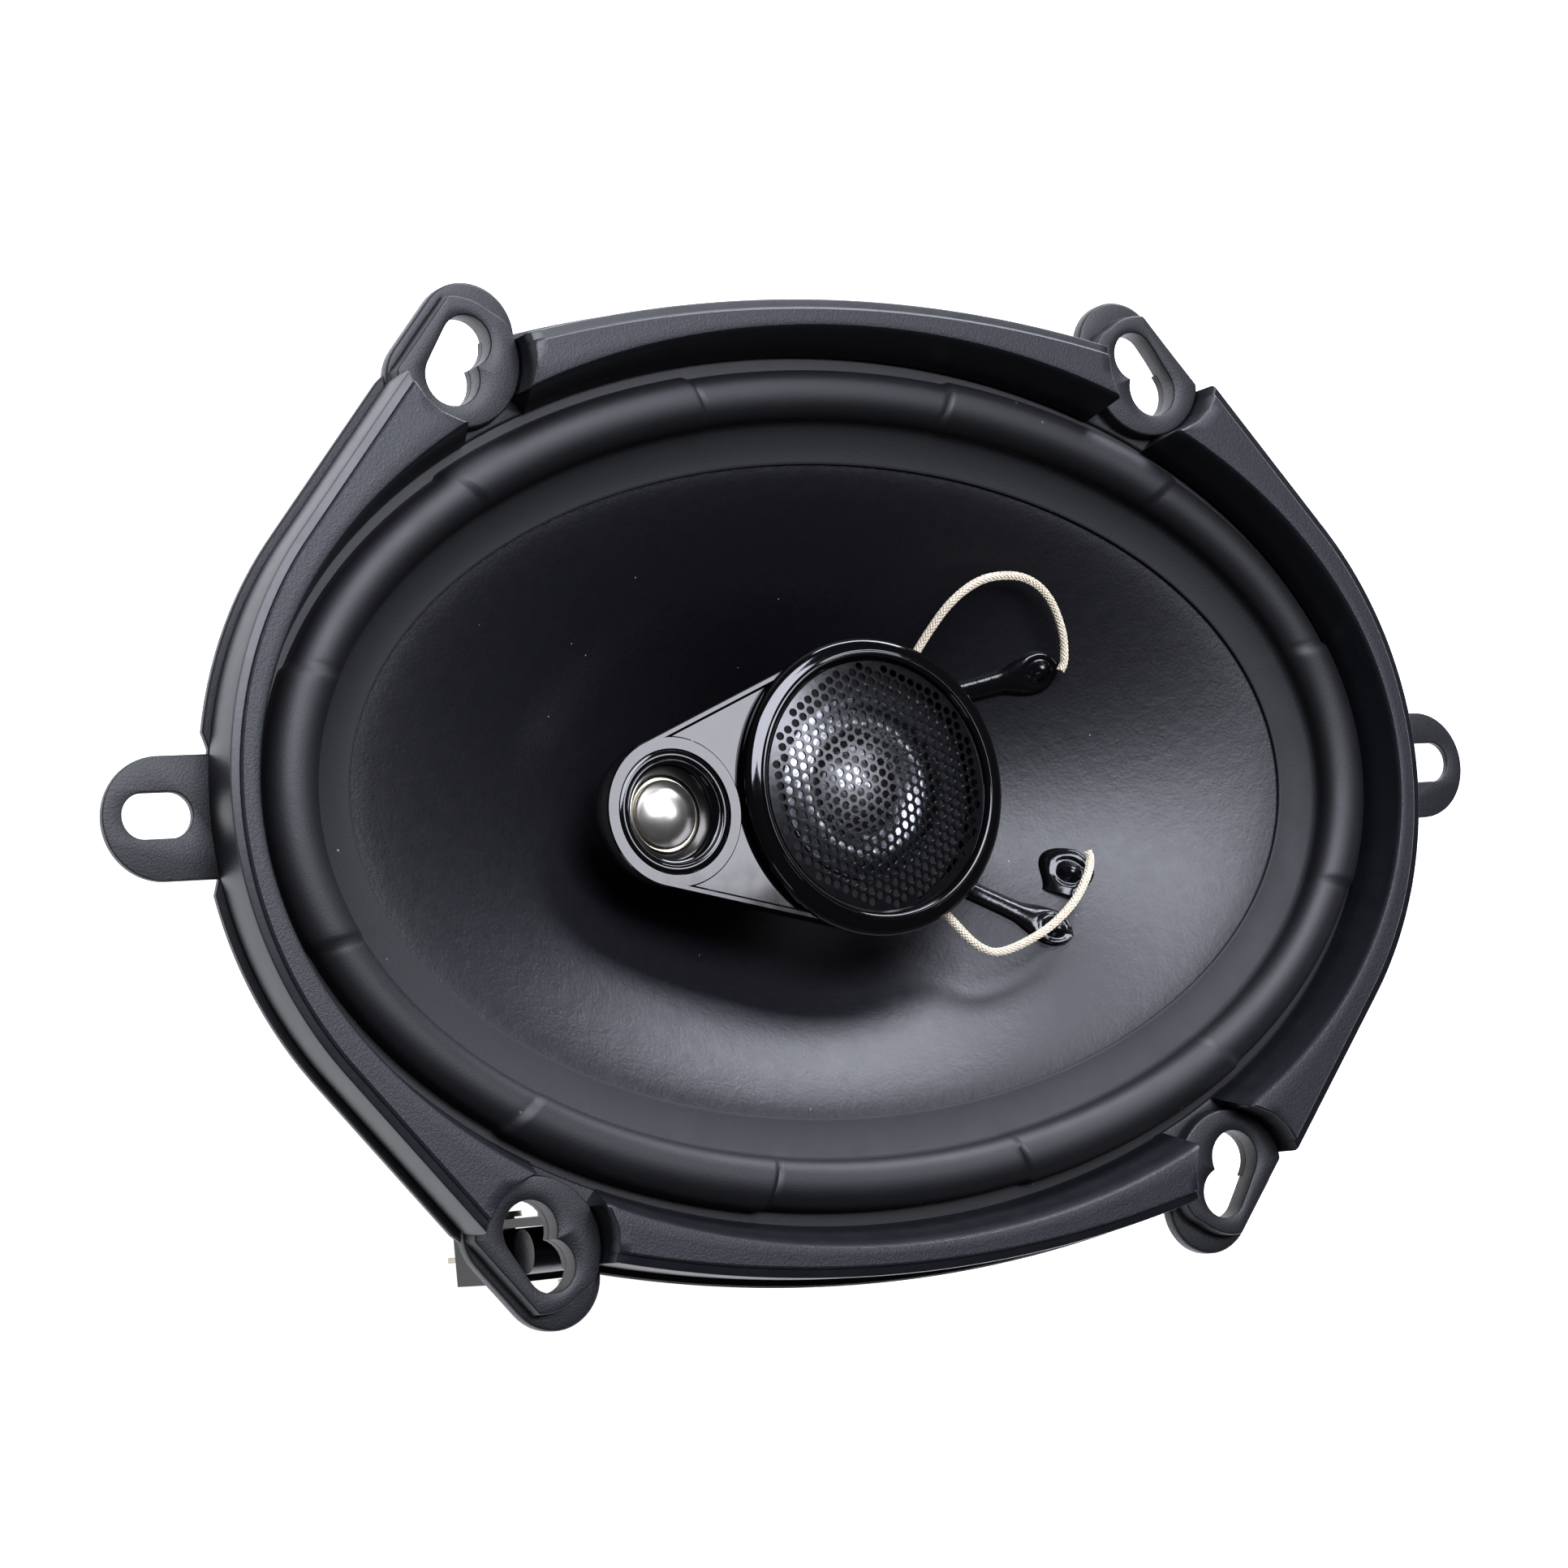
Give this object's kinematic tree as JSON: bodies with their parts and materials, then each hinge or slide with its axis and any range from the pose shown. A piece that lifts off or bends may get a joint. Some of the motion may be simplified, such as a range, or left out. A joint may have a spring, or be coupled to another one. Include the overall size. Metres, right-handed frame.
{
  "type": "coaxial car speaker",
  "caption": "Oval three-way coaxial car speaker: stamped basket with slotted mounting ears, paper cone, rubber surround, and two tweeters in a pod on a central post.",
  "frame": {"origin": "under the middle of the back plate, where the motor rests on a table", "axes": "+Z along the speaker's axis, out of the cone towards the listener; +X along the oval's long axis, away from the small tweeter; +Y across it, so that the terminals are on the -Y side"},
  "size_m": [0.228, 0.1448, 0.0712],
  "materials": {
    "black_painted_steel": "satin black e-coat over stamped steel",
    "textured_black_plastic": "fine moulded grain",
    "black_rubber": "satin",
    "black_paper_pulp": null,
    "gloss_black_abs": "polished",
    "black_lead_glue": "glossy set adhesive",
    "cream_tinsel_braid": "woven tinsel braid",
    "black_perforated_steel": "fine perforated steel, dark coat",
    "silvered_film": "bright vapour-coated film",
    "zinc_plated_steel": "zinc plate",
    "ferrite": "dull ground ferrite",
    "enamelled_copper": null,
    "amber_film": "amber film",
    "resin_dipped_cloth": "resin-dipped woven cloth",
    "tinned_brass": "tinned",
    "black_moulded_nylon": "moulded",
    "black_capacitor_sleeve": "shrink sleeve"
  },
  "bodies": {
    "frame": {"basket": "black_painted_steel", "trim_segment_upper": "textured_black_plastic", "trim_segment_lower": "textured_black_plastic", "trim_segment_left": "textured_black_plastic", "trim_segment_right": "textured_black_plastic", "surround": "black_rubber", "pod_housing": "gloss_black_abs", "tweeter_bezel": "gloss_black_abs", "super_tweeter_bezel": "gloss_black_abs", "tweeter_post": "gloss_black_abs", "upper_tinsel_lead": "cream_tinsel_braid", "lower_tinsel_lead": "cream_tinsel_braid", "rear_tinsel_lead_1": "cream_tinsel_braid", "rear_tinsel_lead_2": "cream_tinsel_braid", "tweeter_grille": "black_perforated_steel", "top_plate": "zinc_plated_steel", "back_plate": "zinc_plated_steel", "post_screw": "zinc_plated_steel", "pod_screw": "zinc_plated_steel", "basket_rivet_1": "zinc_plated_steel", "basket_rivet_2": "zinc_plated_steel", "basket_rivet_3": "zinc_plated_steel", "basket_rivet_4": "zinc_plated_steel", "tweeter_motor_cup": "zinc_plated_steel", "tweeter_pole_cap": "zinc_plated_steel", "magnet": "ferrite", "tweeter_magnet": "ferrite", "spider": "resin_dipped_cloth", "wide_terminal": "tinned_brass", "narrow_terminal": "tinned_brass", "terminal_rivet_1": "tinned_brass", "terminal_rivet_2": "tinned_brass", "super_tweeter_piezo": "tinned_brass", "terminal_block": "black_moulded_nylon", "tweeter_frame": "black_moulded_nylon", "crossover_capacitor": "black_capacitor_sleeve"},
    "cone_assembly": {"cone": "black_paper_pulp", "voice_coil_former": "amber_film", "voice_coil_winding": "enamelled_copper", "upper_lead_joint": "black_lead_glue", "lower_lead_joint": "black_lead_glue", "end_lead_joint": "black_lead_glue", "rear_lead_joint_1": "black_lead_glue", "rear_lead_joint_2": "black_lead_glue"},
    "tweeter_film": {"tweeter_diaphragm": "silvered_film", "tweeter_coil": "enamelled_copper"},
    "super_tweeter_film": {"super_tweeter_dome": "silvered_film"}
  },
  "joints": [
    {"name": "cone_travel", "type": "slide", "parent": "frame", "child": "cone_assembly", "axis": [0, 0, 1], "range_m": [-0.0035, 0.0035], "stiffness_N_per_m": 2200, "deforming": ["surround", "spider", "upper_tinsel_lead", "lower_tinsel_lead", "rear_tinsel_lead_1", "rear_tinsel_lead_2"]},
    {"name": "tweeter_travel", "type": "slide", "parent": "frame", "child": "tweeter_film", "axis": [0, 0, 1], "range_m": [-0.0002, 0.0002], "stiffness_N_per_m": 1500},
    {"name": "super_tweeter_travel", "type": "slide", "parent": "frame", "child": "super_tweeter_film", "axis": [0, 0, 1], "range_m": [-0.0001, 0.0001], "stiffness_N_per_m": 1500}
  ]
}
